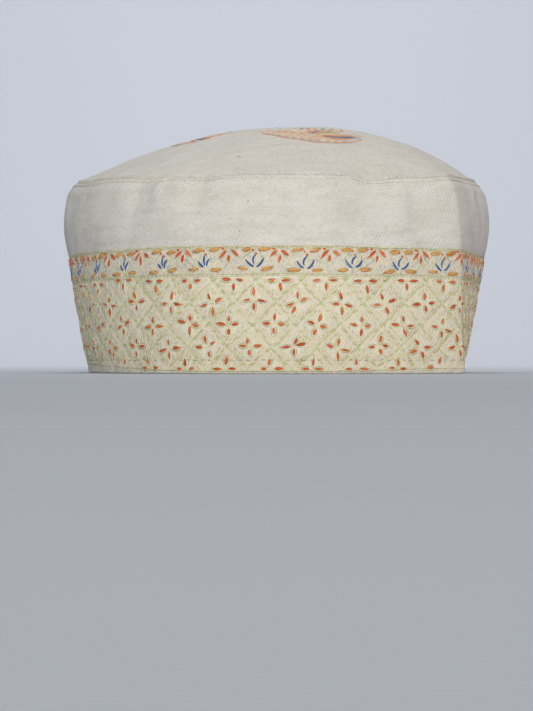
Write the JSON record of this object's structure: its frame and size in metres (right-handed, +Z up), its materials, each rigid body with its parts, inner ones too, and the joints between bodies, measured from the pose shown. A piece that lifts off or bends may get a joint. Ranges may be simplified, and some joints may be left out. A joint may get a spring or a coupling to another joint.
{
  "type": "kashmiri cap",
  "caption": "Round soft wool cap with a domed paisley-stitched crown, a plain leaning wall and a deep band of stitched flowers in a diamond trellis under a flower border.",
  "frame": {"origin": "middle of the cap's box, on the plane of the rim", "axes": "+Z up to the crown, -Y towards the front of the cap, +X to the right of someone looking at its front"},
  "size_m": [0.182, 0.196, 0.105],
  "materials": {
    "crown_cloth": "matt cream twill wool with stitched paisleys in orange, red and blue",
    "wall_cloth": "matt cream twill wool, plain",
    "band_cloth": "cream wool under dense pale yellow-green thread, with red, blue and orange stitching"
  },
  "bodies": {
    "root": {"crown_top": "crown_cloth", "side_wall": "wall_cloth", "embroidered_band": "band_cloth"}
  },
  "joints": []
}
